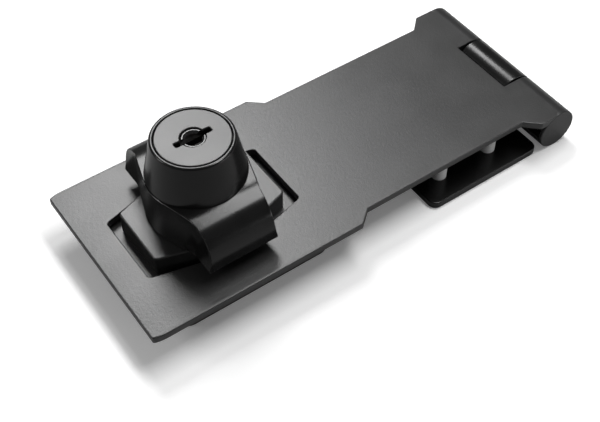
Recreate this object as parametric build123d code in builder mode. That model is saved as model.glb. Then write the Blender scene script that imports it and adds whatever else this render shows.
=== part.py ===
from build123d import *
from math import acos, atan2, cos, degrees, hypot, radians, sin, sqrt
import os

# A keyed hasp lock: a wide steel strap, hinged to a screw-on leaf, drops over
# a six-sided boss on the lock base. A twist knob on the boss carries a saddle
# that reaches over the strap. The key in the knob throws a bolt into the base.
# Origin: where the knob's axis meets the mounting surface. +X points along the
# strap to the hinge, +Z away from the mounting surface. Millimetres.

# Sheet metal and hinge
sheet = 1.8                # thickness of the strap and of the leaf
barrel_d = 10.0            # outside diameter of the rolled knuckles
pin_gap = 0.2              # between the pin and the rolled bores, on the radius
axis_to_hinge = 83.3       # knob axis to hinge pin, along X
roll_turn = 260.0          # how far round the pin each sheet is rolled, degrees
head_t = 0.8               # thickness of the pin's head and of its end cap
knuckle_w = 15.8           # width of the leaf's middle knuckle
knuckle_gap = 0.25         # side gap between neighbouring knuckles
slot_gap = 0.4             # between the knuckle and the strap's slot, on the radius

# Strap outline
lock_end_w = 45.0          # width over the lock
waist_in = 2.85            # how far each side steps in at the narrow middle
hinge_out = 0.4            # how far each side of the hinge stands out past the lock end
axis_to_lock_end = 24.7    # knob axis to the free end
wide_past_axis = 26.4      # knob axis to the end of the wide part
taper_len = 3.4            # length of each slanted shoulder of the outline
flare_lead = 0.6           # full width starts this far before the barrel
lock_end_r = 3.5           # corner radius at the free end

# Lock base
base_len = 38.0            # along X
base_w = 35.6              # along Y
base_off = 2.9             # centre of the base ahead of the knob axis
base_r = 3.0               # corner radius in plan
base_under_strap = 0.55    # gap between the base and the strap above it
boss_len = 31.8            # six-sided boss along X
boss_off = 0.5             # centre of the boss ahead of the knob axis
boss_end_w = 15.0          # width of the boss at its two ends
boss_mid_w = 22.0          # width of the boss at its middle
boss_flat = 9.0            # length of the straight middle stretch
boss_above_strap = 2.8     # height of the boss above the strap
window_clear = 2.75        # between boss and window at the two ends, along X
window_off = 0.8           # centre of the window ahead of the knob axis
window_side = 1.3          # between boss and window along Y

# Knob
saddle_gap = 0.4           # between the boss and the knob turning above it
saddle_h = 10.3            # height of the saddle and its collar
saddle_len = 34.6          # over both ends; turned, it passes through the window
wing_foot_w = 16.6         # width of the saddle's wings underneath
wing_top_w = 16.0          # the same at the height of the top face
wing_root = 11.5           # knob axis to where the wings' straight sides start
wing_blend_r = 6.0         # rounding between the collar and the wings, in plan
saddle_shoulder_r = 8.4    # rounding of the saddle's two shoulders
collar_foot_d = 23.4       # round collar where it meets the boss
collar_top_d = 21.9        # the same at its top, a little wider than the grip
collar_cove = 0.5          # how far the collar's side is hollowed at half height
cone_foot_d = 21.6         # round grip at its foot
cone_top_d = 17.5          # round grip at its top
cone_h = 9.5               # height of the grip
edge_r = 0.4               # softened edges of the castings
hub_d = 16.0               # hub that turns in the base
hub_gap = 0.25             # between hub and base, on the radius
hub_above_mount = 0.6      # the hub's end stays off the mounting surface

# Cylinder
face_d = 15.7              # round face that turns with the key
face_gap = 0.15            # between face and rim, on the radius
face_t = 0.6               # thickness of the pressed face
flange_t = 1.6             # head of the plug under the face
plug_d = 12.0              # body of the plug
plug_gap = 0.15            # between plug and knob, on the radius
plug_len = 16.2            # plug below its head
plug_floor = 1.0           # left under the keyway
keyhole_d = 5.4            # round part of the keyhole
keyway_len = 8.5           # long slot for the key
keyway_w = 1.2             # width of that slot
keyhole_sink = 1.0         # depth of the round sink in the plug's head
blade_room = 0.2           # how much wider the plug's keyway is than the slot
tail_d = 7.0               # tail of the plug
drive_pin_d = 2.2          # eccentric pin under the tail
drive_throw = 2.0          # its distance from the axis

# Wafers
wafer_count = 5
wafer_pitch = 2.4
wafer_t = 1.0
wafer_w = 6.0
wafer_gap = 0.1            # all round each wafer
wafer_first = 3.0          # below the underside of the plug's head
lug_w = 1.5                # spring lug on the wafer's side
lug_t = 1.0                # the lug along the wafer
spring_room = 3.2          # length of the spring
spring_d = 1.0             # outside diameter of the wafer springs
spring_wire = 0.2
spring_turns = 4

# Locking bolt
bolt_w = 6.4
bolt_h = 2.8
bolt_rear = 5.6            # the bolt's back end behind the axis
bolt_slide = 0.15          # between the bolt and its slot
bolt_above_ledge = 0.4     # bolt above the ledge that the stop washer runs under
notch_gap = 0.3            # between the thrown bolt and its notch

# Knob retention
ledge_up = 3.2             # height of the ledge in the base's underside
washer_t = 0.8
washer_d = 20.4
lug_reach = 12.4           # radius of the stop washer's lug
lug_half_angle = 10.0      # half the lug's width, degrees
knob_turn = 90.0           # travel of the knob, degrees
washer_room = 0.4          # between the washer's rim and the counterbore
flat_depth = 0.8           # flats on the hub that turn the washer
ring_t = 0.8               # retaining ring
ring_bite = 0.8            # depth of its groove
ring_radial = 2.2          # width of the ring, seen along the axis
fit = 0.05                 # running clearance of pressed and riveted pieces

# Fasteners
screw_hole_d = 4.4
screw_head_d = 7.8
screw_pitch_x = 23.6       # between the base's screws along X
screw_pitch_y = 26.4       # between the base's screws along Y
leaf_screw_pitch = 19.0    # between the leaf's two screws
leaf_len = 31.6            # along X
leaf_r = 2.0               # corner radius
leaf_to_pin = 4.9          # leaf's edge to the pin's axis
stud_d = 3.6
stud_rivet_d = 2.4
stud_pitch_x = 14.7
stud_from_end = 6.8        # leaf's free end to the nearer studs
stud_from_side = 6.7       # leaf's sides to the studs
stud_gap = 0.2             # between the studs and the closed strap

# Heights and places that follow from them
barrel_r = barrel_d / 2
bore_r = barrel_r - sheet
pin_r = bore_r - pin_gap
pin_z = barrel_r
strap_top = barrel_d
strap_under = strap_top - sheet
base_top = strap_under - base_under_strap
boss_top = strap_top + boss_above_strap
saddle_z = boss_top + saddle_gap
cone_z = saddle_z + saddle_h
knob_top = cone_z + cone_h
shoulder_y = saddle_len / 2 - saddle_shoulder_r
cone_past = cone_foot_d / 2 - shoulder_y
cone_seat = saddle_shoulder_r - sqrt(saddle_shoulder_r**2 - cone_past**2) + fit
waist_w = lock_end_w - 2 * waist_in
hinge_end_w = lock_end_w + 2 * hinge_out
knuckle_out = hinge_end_w / 2 - head_t
slot_half = knuckle_w / 2 + knuckle_gap
slot_x = axis_to_hinge - sqrt((barrel_r + slot_gap) ** 2 - bore_r**2)
flare_x = axis_to_hinge - barrel_r - flare_lead
hub_r = hub_d / 2
plug_r = plug_d / 2
face_z = knob_top - face_t
flange_z = face_z - flange_t
plug_z = flange_z - plug_len
bolt_z = ledge_up + bolt_above_ledge
bolt_top = bolt_z + bolt_h
tail_z = bolt_top + 2 * bolt_slide
washer_z = ledge_up - fit - washer_t
ring_z = washer_z - fit - ring_t
throw_turn = radians(45)
bolt_travel = 2 * drive_throw * sin(throw_turn)
bolt_tip_r = hub_r - bolt_slide
pin_slot_w = drive_pin_d + 2 * bolt_slide
leaf_x = axis_to_hinge - leaf_to_pin - leaf_len / 2
leaf_w = lock_end_w
stud_x = leaf_x - leaf_len / 2 + stud_from_end
stud_y = leaf_w / 2 - stud_from_side
stud_places = [(stud_x + i * stud_pitch_x, side * stud_y) for side in (-1, 1) for i in (0, 1)]
wafer_z = [flange_z - wafer_first - i * wafer_pitch for i in range(wafer_count)]
lug_x = -lug_t
wafer_half = wafer_w / 2
chamber_y = wafer_half + lug_w + 2 * wafer_gap
sides = (Align.MIN, Align.MAX)


def boss_outline(grow_x, grow_y):
    """Six-sided plan of the boss, or with growth the window around it."""
    half_len = boss_len / 2 + grow_x
    half_end = boss_end_w / 2 + grow_y
    half_mid = boss_mid_w / 2 + grow_y
    half_flat = boss_flat / 2
    quarter = [(half_len, half_end), (half_flat, half_mid)]
    upper = quarter + [(-x, y) for x, y in reversed(quarter)]
    return upper + [(-x, -y) for x, y in upper]


def saddle_plan(height, radius, wing_w):
    """A round collar drawn out by straight tangents to two parallel-sided wings."""
    wing_x = wing_w / 2
    tip_y = saddle_len / 2 + 1
    turn = atan2(wing_root, wing_x) - acos(radius / hypot(wing_x, wing_root))
    with BuildSketch(Plane.XY.offset(height)) as plan:
        with BuildLine():
            collar = CenterArc((0, 0), radius, 0, degrees(turn))
            Polyline(collar @ 1, (wing_x, wing_root), (wing_x, tip_y), (0, tip_y))
            mirror(about=Plane.YZ)
            mirror(about=Plane.XZ)
        make_face()
        roots = [v for v in plan.vertices() if abs(abs(v.Y) - wing_root) < fit]
        fillet(roots, radius=wing_blend_r)
    return plan.sketch.face()


def rolled_section(start, turn):
    """Section of a sheet rolled round the pin, from one angle through a turn."""
    centre = (axis_to_hinge, pin_z)
    outer = CenterArc(centre, barrel_r, start, turn)
    inner = CenterArc(centre, bore_r, start, turn)
    Line(outer @ 0, inner @ 0)
    Line(outer @ 1, inner @ 1)


def save(piece, name):
    piece.part.label = name
    export_step(piece.part, f"parts/{name}.step")


os.makedirs("parts", exist_ok=True)

# Strap: a flat blank with its window, rolled over the pin at the hinge end
with BuildPart() as hasp_strap:
    with BuildSketch(Plane.XY.offset(strap_under)) as blank:
        half_outline = [
            (-axis_to_lock_end, lock_end_w / 2),
            (wide_past_axis, lock_end_w / 2),
            (wide_past_axis + taper_len, waist_w / 2),
            (flare_x - taper_len, waist_w / 2),
            (flare_x, hinge_end_w / 2),
            (axis_to_hinge, hinge_end_w / 2),
        ]
        with BuildLine():
            Polyline(half_outline + [(x, -y) for x, y in reversed(half_outline)], close=True)
        make_face()
        free_end = blank.vertices().group_by(Axis.X)[0]
        fillet(free_end, radius=lock_end_r)
    extrude(amount=sheet)
    with BuildSketch(Plane.XZ):
        with BuildLine():
            rolled_section(90, -roll_turn)
        make_face()
    extrude(amount=knuckle_out, both=True)
    for side_y in (knuckle_out, -knuckle_out - head_t):
        with BuildSketch(Plane.XZ.offset(side_y)):
            with Locations((axis_to_hinge, pin_z)):
                Circle(barrel_r + fit)
        extrude(amount=head_t, mode=Mode.SUBTRACT)
    for level, height, start_x in ((0, strap_under, flare_x), (strap_under, sheet, slot_x)):
        with BuildSketch(Plane.XY.offset(level)):
            with Locations((start_x, 0)):
                Rectangle(2 * barrel_d, 2 * slot_half, align=(Align.MIN, Align.CENTER))
        extrude(amount=height, mode=Mode.SUBTRACT)
    with BuildSketch(Plane.XY.offset(strap_under)) as window:
        with BuildLine():
            Polyline([(x + window_off, y) for x, y in boss_outline(window_clear, window_side)], close=True)
        make_face()
        fillet(window.vertices(), radius=1.0)
    extrude(amount=sheet, mode=Mode.SUBTRACT)
save(hasp_strap, "hasp_strap")

# Hinge leaf: screwed down under the strap, with the middle knuckle
with BuildPart() as hinge_leaf:
    with BuildSketch(Plane.XY):
        with Locations((leaf_x, 0)):
            RectangleRounded(leaf_len, leaf_w, leaf_r)
        with Locations((leaf_x + leaf_len / 2 - leaf_r, 0)):
            Rectangle(leaf_to_pin + leaf_r, knuckle_w, align=(Align.MIN, Align.CENTER))
    extrude(amount=sheet)
    with BuildSketch(Plane.XZ):
        with BuildLine():
            rolled_section(-90, roll_turn)
        make_face()
    extrude(amount=knuckle_w / 2, both=True)
    with Locations((leaf_x, 0, sheet)):
        with GridLocations(1, leaf_screw_pitch, 1, 2):
            CounterSinkHole(screw_hole_d / 2, screw_head_d / 2, sheet, counter_sink_angle=90)
    with BuildSketch(Plane.XY):
        with Locations(stud_places):
            Circle(stud_rivet_d / 2 + fit)
    extrude(amount=sheet, mode=Mode.SUBTRACT)
save(hinge_leaf, "hinge_leaf")

# Four plain studs riveted into the leaf, which carry the closed strap
for number, place in enumerate(stud_places, start=1):
    with BuildPart() as leaf_stud:
        with BuildSketch(Plane.XY):
            with Locations(place):
                Circle(stud_rivet_d / 2)
        extrude(amount=sheet)
        with BuildSketch(Plane.XY.offset(sheet)):
            with Locations(place):
                Circle(stud_d / 2)
        extrude(amount=strap_under - stud_gap - sheet)
        chamfer(leaf_stud.edges().group_by(Axis.Z)[-1], length=0.3)
    save(leaf_stud, f"leaf_stud_{number}")

# Hinge pin with a head as wide as the barrel, and the cap riveted on its far end
with BuildPart() as hinge_pin:
    with BuildSketch(Plane.XZ.offset(-knuckle_out)):
        with Locations((axis_to_hinge, pin_z)):
            Circle(pin_r)
    extrude(amount=2 * knuckle_out)
    with BuildSketch(Plane.XZ.offset(knuckle_out)):
        with Locations((axis_to_hinge, pin_z)):
            Circle(barrel_r)
    extrude(amount=head_t)
    fillet(hinge_pin.edges().group_by(Axis.Y)[0], radius=0.25)
    with BuildSketch(Plane.XZ.offset(-knuckle_out - head_t)):
        with Locations((axis_to_hinge, pin_z)):
            Circle(pin_r / 2)
    extrude(amount=head_t)
save(hinge_pin, "hinge_pin")

with BuildPart() as pin_end_cap:
    with BuildSketch(Plane.XZ.offset(-knuckle_out - head_t)):
        with Locations((axis_to_hinge, pin_z)):
            Circle(barrel_r)
            Circle(pin_r / 2 + fit, mode=Mode.SUBTRACT)
    extrude(amount=head_t)
    fillet(pin_end_cap.edges().group_by(Axis.Y)[-1].sort_by(SortBy.RADIUS)[-1], radius=0.25)
save(pin_end_cap, "pin_end_cap")

# Lock base: one casting, a rounded block with the six-sided boss on top
with BuildPart() as lock_base:
    with BuildSketch(Plane.XY):
        with Locations((base_off, 0)):
            RectangleRounded(base_len, base_w, base_r)
    extrude(amount=base_top)
    chamfer(lock_base.edges().group_by(Axis.Z)[-1], length=edge_r)
    with BuildSketch(Plane.XY.offset(base_top)) as boss:
        with BuildLine():
            Polyline([(x + boss_off, y) for x, y in boss_outline(0, 0)], close=True)
        make_face()
        fillet(boss.vertices(), radius=0.8)
    extrude(amount=boss_top - base_top)
    fillet(lock_base.edges().group_by(Axis.Z)[-1], radius=edge_r)
    with BuildSketch(Plane.XY):
        Circle(hub_r + hub_gap)
    extrude(amount=boss_top, mode=Mode.SUBTRACT)
    with BuildSketch(Plane.XY):
        Circle(washer_d / 2 + washer_room)
        with BuildLine():
            reach = lug_reach + washer_room
            sweep_from = 225 - lug_half_angle - 1
            sweep_by = knob_turn + 2 * lug_half_angle + 2
            arc = CenterArc((0, 0), reach, sweep_from, sweep_by)
            Polyline(arc @ 1, (0, 0), arc @ 0)
        make_face()
    extrude(amount=ledge_up, mode=Mode.SUBTRACT)
    with BuildSketch(Plane.XY):
        notch_reach = bolt_tip_r + bolt_travel + notch_gap
        notch_w = bolt_w + 2 * notch_gap
        Rectangle(notch_reach, notch_w, align=(Align.MIN, Align.CENTER))
        Rectangle(notch_w, notch_reach, align=(Align.CENTER, Align.MIN))
    extrude(amount=bolt_top + notch_gap, mode=Mode.SUBTRACT)
    with Locations((0, 0, base_top)):
        with GridLocations(screw_pitch_x, screw_pitch_y, 2, 2):
            CounterSinkHole(screw_hole_d / 2, screw_head_d / 2, base_top, counter_sink_angle=90)
save(lock_base, "lock_base")

# Three plans of the saddle, from its underside to the foot of the grip
cove_d = (collar_foot_d + collar_top_d) / 2 - 2 * collar_cove
cove_w = (wing_foot_w + wing_top_w) / 2 - 2 * collar_cove
foot_plan = saddle_plan(saddle_z, collar_foot_d / 2, wing_foot_w)
cove_plan = saddle_plan((saddle_z + cone_z) / 2, cove_d / 2, cove_w)
top_plan = saddle_plan(cone_z, collar_top_d / 2, wing_top_w)

# Knob: one casting of round grip, collar, saddle and the hub in the base
with BuildPart() as knob_body:
    loft([foot_plan, cove_plan, top_plan])
    with BuildSketch(Plane.YZ) as shoulders:
        with Locations((0, saddle_z)):
            Rectangle(saddle_len, saddle_h, align=(Align.CENTER, Align.MIN))
        fillet(shoulders.vertices().group_by(Axis.Y)[-1], radius=saddle_shoulder_r)
    extrude(amount=collar_foot_d, both=True, mode=Mode.INTERSECT)
    with BuildSketch(Plane.XY.offset(cone_z - cone_seat)):
        Circle(cone_foot_d / 2)
    with BuildSketch(Plane.XY.offset(knob_top)):
        Circle(cone_top_d / 2)
    loft()
    fillet(knob_body.edges().group_by(Axis.Z)[-1], radius=edge_r)
    with BuildSketch(Plane.XY.offset(hub_above_mount)):
        Circle(hub_r)
    extrude(amount=saddle_z - hub_above_mount)
    with BuildSketch(Plane.XY.offset(hub_above_mount)):
        Rectangle(hub_d, hub_d)
        Rectangle(hub_d, hub_d - 2 * flat_depth, mode=Mode.SUBTRACT)
    extrude(amount=ledge_up - hub_above_mount, mode=Mode.SUBTRACT)
    with BuildSketch(Plane.XY.offset(ring_z - fit)):
        Circle(hub_d)
        Circle(hub_r - ring_bite, mode=Mode.SUBTRACT)
    extrude(amount=ring_t + 2 * fit, mode=Mode.SUBTRACT)
    with BuildSketch(Plane.XY.offset(flange_z - fit)):
        Circle(face_d / 2 + face_gap)
    extrude(amount=flange_t + face_t + 1, mode=Mode.SUBTRACT)
    with BuildSketch(Plane.XY.offset(plug_z - 2 * fit)):
        Circle(plug_r + plug_gap)
    extrude(amount=plug_len + 1, mode=Mode.SUBTRACT)
    with BuildSketch(Plane.XY.offset(bolt_z)):
        Circle(tail_d / 2 + plug_gap)
    extrude(amount=plug_z - bolt_z, mode=Mode.SUBTRACT)
    with BuildSketch(Plane.XY.offset(bolt_z - bolt_slide)):
        with Locations((-bolt_rear - bolt_slide, 0)):
            Rectangle(hub_d, bolt_w + 2 * bolt_slide, align=(Align.MIN, Align.CENTER))
    extrude(amount=bolt_h + 2 * bolt_slide, mode=Mode.SUBTRACT)
save(knob_body, "knob_body")

# Plug: head, slotted body and tail with its eccentric drive pin
with BuildPart() as cylinder_plug:
    with BuildSketch(Plane.XY.offset(flange_z)):
        Circle(face_d / 2)
    extrude(amount=flange_t)
    with BuildSketch(Plane.XY.offset(plug_z)):
        Circle(plug_r)
    extrude(amount=plug_len)
    with BuildSketch(Plane.XY.offset(face_z - keyhole_sink)):
        Circle(keyhole_d / 2)
    extrude(amount=keyhole_sink, mode=Mode.SUBTRACT)
    with BuildSketch(Plane.XY.offset(plug_z + plug_floor)):
        Rectangle(keyway_len + blade_room, keyway_w + blade_room)
    extrude(amount=face_z - plug_z - plug_floor, mode=Mode.SUBTRACT)
    for index, height in enumerate(wafer_z):
        with BuildSketch(Plane.XY.offset(height - wafer_t / 2 - wafer_gap)):
            Rectangle(plug_d + 1, wafer_w + 2 * wafer_gap)
            with Locations((lug_x - wafer_gap, 0)):
                Rectangle(
                    lug_t + spring_room + 2 * wafer_gap,
                    chamber_y,
                    align=(Align.MIN, sides[index % 2]),
                )
        extrude(amount=wafer_t + 2 * wafer_gap, mode=Mode.SUBTRACT)
    with BuildSketch(Plane.XY.offset(tail_z)):
        Circle(tail_d / 2)
    extrude(amount=plug_z - tail_z)
    with BuildSketch(Plane.XY.offset(bolt_z + bolt_slide)):
        with Locations((-drive_throw * sin(throw_turn), drive_throw * cos(throw_turn))):
            Circle(drive_pin_d / 2)
    extrude(amount=tail_z - bolt_z - bolt_slide)
save(cylinder_plug, "cylinder_plug")

# Face: a thin pressed disc on the plug, with the keyhole
with BuildPart() as plug_face:
    with BuildSketch(Plane.XY.offset(face_z)):
        Circle(face_d / 2)
        Circle(keyhole_d / 2, mode=Mode.SUBTRACT)
        Rectangle(keyway_len, keyway_w, mode=Mode.SUBTRACT)
    extrude(amount=face_t)
save(plug_face, "plug_face")

# Wafers at the shear line, each with a side lug that its spring pushes on
for index, height in enumerate(wafer_z):
    spring_y = (wafer_half + lug_w / 2 + wafer_gap) * (-1) ** index
    with BuildPart() as wafer:
        with BuildSketch(Plane.XY.offset(height - wafer_t / 2)):
            Circle(plug_r - wafer_gap)
            Rectangle(plug_d, wafer_w, mode=Mode.INTERSECT)
            with Locations((lug_x, 0)):
                Rectangle(lug_t, wafer_half + lug_w, align=(Align.MIN, sides[index % 2]))
            Rectangle(keyway_len + blade_room, keyway_w + 2 * blade_room, mode=Mode.SUBTRACT)
        extrude(amount=wafer_t)
    save(wafer, f"wafer_{index + 1}")
    with BuildPart() as wafer_spring:
        with BuildLine() as coil:
            Helix(
                pitch=(spring_room - spring_wire) / spring_turns,
                height=spring_room - spring_wire,
                radius=(spring_d - spring_wire) / 2,
                center=(spring_wire / 2, spring_y, height),
                direction=(1, 0, 0),
            )
        with BuildSketch(Plane(coil.line @ 0, z_dir=coil.line % 0)):
            Circle(spring_wire / 2)
        sweep(is_frenet=True)
    save(wafer_spring, f"wafer_spring_{index + 1}")

# Locking bolt: slides in the hub, driven by the pin in its open-sided slot
with BuildPart() as locking_bolt:
    with BuildSketch(Plane.XY.offset(bolt_z)):
        with Locations((-bolt_rear, 0)):
            Rectangle(bolt_rear + hub_r, bolt_w, align=(Align.MIN, Align.CENTER))
        Circle(bolt_tip_r, mode=Mode.INTERSECT)
        with Locations((-drive_throw * sin(throw_turn), drive_throw * cos(throw_turn))):
            Circle(pin_slot_w / 2, mode=Mode.SUBTRACT)
            Rectangle(pin_slot_w, bolt_w, align=(Align.CENTER, Align.MIN), mode=Mode.SUBTRACT)
    extrude(amount=bolt_h)
save(locking_bolt, "locking_bolt")

# Stop washer: turned by the hub's flats, its lug runs in the base's arc recess
with BuildPart() as stop_washer:
    with BuildSketch(Plane.XY.offset(washer_z)):
        Circle(washer_d / 2)
        with BuildLine():
            lug = CenterArc((0, 0), lug_reach, 225 - lug_half_angle, 2 * lug_half_angle)
            Polyline(lug @ 1, (0, 0), lug @ 0)
        make_face()
        with BuildSketch(mode=Mode.SUBTRACT):
            Circle(hub_r + fit)
            Rectangle(2 * hub_d, hub_d - 2 * flat_depth + 2 * fit, mode=Mode.INTERSECT)
    extrude(amount=washer_t)
save(stop_washer, "stop_washer")

# Retaining ring: sprung into the hub's groove under the washer, open on one side
with BuildPart() as retaining_ring:
    with BuildSketch(Plane.XY.offset(ring_z)):
        Circle(hub_r - ring_bite + fit + ring_radial)
        Circle(hub_r - ring_bite + fit, mode=Mode.SUBTRACT)
        Rectangle(hub_d + ring_radial, 6.0, align=(Align.MIN, Align.CENTER), mode=Mode.SUBTRACT)
    extrude(amount=ring_t)
save(retaining_ring, "retaining_ring")
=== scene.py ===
# %% [markdown]
# # A keyed hasp lock
# A wide steel strap, hinged to a small leaf on the door, drops over a six-sided
# boss on the lock base. A round knob stands on the boss and carries a saddle whose
# two wings reach out over the strap and hold it down. The parts were measured and
# made as solids first; here they get the softened edges, the coats of paint and
# the studio that a photograph of the lock would show.

# %% Load the measured frame
import math
import bmesh
import bpy
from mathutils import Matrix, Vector


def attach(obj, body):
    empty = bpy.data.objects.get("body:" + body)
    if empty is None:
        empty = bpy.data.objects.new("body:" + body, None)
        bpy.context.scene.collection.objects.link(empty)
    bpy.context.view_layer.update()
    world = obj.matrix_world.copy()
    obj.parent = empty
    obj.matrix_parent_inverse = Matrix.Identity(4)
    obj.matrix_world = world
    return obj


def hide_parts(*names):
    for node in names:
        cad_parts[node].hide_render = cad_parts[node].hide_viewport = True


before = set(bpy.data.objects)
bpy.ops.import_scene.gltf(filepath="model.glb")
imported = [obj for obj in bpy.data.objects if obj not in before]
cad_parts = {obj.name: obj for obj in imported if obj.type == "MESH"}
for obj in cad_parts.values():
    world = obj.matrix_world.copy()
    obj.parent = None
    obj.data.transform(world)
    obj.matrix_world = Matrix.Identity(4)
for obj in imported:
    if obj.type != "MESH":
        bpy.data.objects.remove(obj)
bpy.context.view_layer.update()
MM = 0.001

# %% [markdown]
# ## Camera
# The view was worked out from the straight edges of the strap in the picture: the
# camera stands 233 mm from a point on the strap, turned 35 degrees to the left of
# the strap's short way and 50 degrees above the table. A photograph of small
# hardware is taken from close by, so the far end looks clearly smaller; a longer
# lens from further away would lose that.

# %% The camera
target = Vector((17.417, -11.99, 10.0)) * MM
sensor_width, focal_pixels, image_width = 36.0, 1094.3, 600
azimuth, elevation, distance = math.radians(-35.236), math.radians(49.969), 0.233337
back = Vector((
    math.sin(azimuth) * math.cos(elevation),
    -math.cos(azimuth) * math.cos(elevation),
    math.sin(elevation),
))
bpy.ops.object.camera_add(location=target + back * distance)
camera = bpy.context.active_object
camera.name = "photo_camera"
camera.rotation_euler = back.to_track_quat("Z", "Y").to_euler()
camera.data.sensor_width = sensor_width
camera.data.lens = sensor_width * focal_pixels / image_width
camera.data.clip_start = 0.01
bpy.context.scene.camera = camera
bpy.context.scene.view_settings.view_transform = "Standard"
print("camera at", [round(c, 4) for c in camera.location], "lens", round(camera.data.lens, 2))

# %% [markdown]
# ## Working by hand, in code
# In the viewport one would click on a corner or an edge and choose a tool. Here a
# corner, edge or face is picked by where its middle lies, in millimetres, and the
# same operator is then called. Small helpers do the steps that come again and
# again: add a primitive at its size, pick, cut across, combine two pieces with a
# Boolean, and soften the edges.

# %% Pick by place
def close_edit():
    """Leave edit mode, with nothing selected."""
    if bpy.context.mode != "OBJECT":
        bpy.ops.object.mode_set(mode="OBJECT")
    bpy.ops.object.select_all(action="DESELECT")


def alone(piece):
    """Make this piece the only selected one, and the active one."""
    close_edit()
    piece.select_set(True)
    bpy.context.view_layer.objects.active = piece


def pick(kind, where):
    """In edit mode, select each vertex, edge or face whose middle passes the test."""
    bpy.ops.mesh.select_mode(type=kind)
    bpy.ops.mesh.select_all(action="DESELECT")
    mesh = bmesh.from_edit_mesh(bpy.context.active_object.data)
    for item in {"VERT": mesh.verts, "EDGE": mesh.edges, "FACE": mesh.faces}[kind]:
        corners = [item] if kind == "VERT" else item.verts
        ends = [corner.co / MM for corner in corners]
        if where(sum(ends, Vector()) / len(ends), ends):
            item.select_set(True)
    mesh.select_flush_mode()
    bmesh.update_edit_mesh(bpy.context.active_object.data)


def edit(piece):
    """Open this piece in edit mode with everything selected."""
    alone(piece)
    bpy.ops.object.mode_set(mode="EDIT")
    bpy.ops.mesh.select_all(action="SELECT")


print("pick by place ready")


# %% Primitives at their size
def block(name, low, high):
    """A cube between two opposite corners, given in millimetres."""
    close_edit()
    low, high = Vector(low) * MM, Vector(high) * MM
    bpy.ops.mesh.primitive_cube_add(size=1, location=(low + high) / 2)
    piece = bpy.context.active_object
    piece.name = name
    piece.scale = high - low
    alone(piece)
    bpy.ops.object.transform_apply(location=True, rotation=True, scale=True)
    return piece


def sheet_plane(name, x_ends, half_width, height):
    """A flat rectangle lying along X, centred on the XZ plane."""
    close_edit()
    middle = Vector((sum(x_ends) / 2, 0, height)) * MM
    bpy.ops.mesh.primitive_plane_add(size=1, location=middle)
    piece = bpy.context.active_object
    piece.name = name
    piece.scale = ((x_ends[1] - x_ends[0]) * MM, 2 * half_width * MM, 1)
    alone(piece)
    bpy.ops.object.transform_apply(location=True, rotation=True, scale=True)
    return piece


def drum(name, centre, radius, low, high, top_radius=None, steps=96):
    """A cylinder or cone standing along Z between two heights."""
    close_edit()
    top = radius if top_radius is None else top_radius
    bpy.ops.mesh.primitive_cone_add(
        vertices=steps, radius1=radius * MM, radius2=top * MM, depth=(high - low) * MM,
        location=Vector((centre[0], centre[1], (low + high) / 2)) * MM,
    )
    piece = bpy.context.active_object
    piece.name = name
    alone(piece)
    bpy.ops.object.transform_apply(location=True, rotation=True, scale=True)
    return piece


def bisect_at(x_places=(), y_places=()):
    """In edit mode, cut straight across the whole mesh at these places."""
    for place in x_places:
        bpy.ops.mesh.select_all(action="SELECT")
        bpy.ops.mesh.bisect(plane_co=(place * MM, 0, 0), plane_no=(1, 0, 0))
    for place in y_places:
        bpy.ops.mesh.select_all(action="SELECT")
        bpy.ops.mesh.bisect(plane_co=(0, place * MM, 0), plane_no=(0, 1, 0))


print("primitives ready")


# %% Boolean and soft edges
def combine(piece, tool, operation="DIFFERENCE"):
    """Cut the tool out of the piece, or join the two, and remove the tool."""
    alone(piece)
    change = piece.modifiers.new("combine", "BOOLEAN")
    change.operation = operation
    change.object = tool
    change.solver = "EXACT"
    bpy.ops.object.modifier_apply(modifier=change.name)
    bpy.data.objects.remove(tool)
    return piece


def bevelled(piece, width):
    """Round off each edge that turns by more than 32 degrees."""
    alone(piece)
    round_off = piece.modifiers.new("round_off", "BEVEL")
    round_off.width, round_off.segments = width * MM, 3
    round_off.limit_method, round_off.angle_limit = "ANGLE", math.radians(32)
    round_off.use_clamp_overlap = False
    bpy.ops.object.modifier_apply(modifier=round_off.name)
    return piece


def smoothed(piece, angle=36):
    """Shade curves as smooth and flats as flat, with edges past the angle crisp."""
    alone(piece)
    bpy.ops.object.shade_smooth_by_angle(angle=math.radians(angle))
    weigh = piece.modifiers.new("weigh", "WEIGHTED_NORMAL")
    weigh.keep_sharp = True
    weigh.weight = 80
    bpy.ops.object.modifier_apply(modifier=weigh.name)
    print(piece.name, "faces", len(piece.data.polygons))


def fit_to_frame(piece, body, slot, *nodes):
    """Let the finished piece ride on its body and stand for its solids."""
    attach(piece, body)
    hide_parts(*nodes)


print("boolean and soft edges ready")

# %% [markdown]
# ## Strap
# On the real lock the strap is one blank of 1.8 mm steel, punched out with its
# window, and its end is rolled round the hinge pin. A solid could be carved for
# it, but a flat plane that is cut, thickened and rolled follows the real making:
# the width changes, the window and the slot for the leaf's knuckle are all drawn
# while the blank is flat, and one spin operator then rolls both ends.

# %% Sizes of the sheet and the hinge
sheet = 1.8
barrel_r = 5.0
pin_x, pin_z = 83.3, 5.0
strap_top = 10.0
roll_steps = 52
roll_angle = math.radians(260)
head_half, knuckle_half = 22.9, 22.1
sheet_edge, same_place = 0.25, 0.0001 * MM
print("sheet", sheet, "pin at", (pin_x, pin_z))

# %% Strap blank: window, waist and slot
lock_end, lock_half = -24.7, 22.5
window_x, window_end_y, window_mid_y = (-17.85, -3.7, 5.3, 19.45), 8.8, 12.3
wide_to, waist_from, waist_to, flare_x, waist_half = 26.4, 29.8, 74.3, 77.7, 19.65
slot_x, slot_half = 78.95, 8.35
lock_end_r, window_r = 3.5, 1.0

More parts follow.
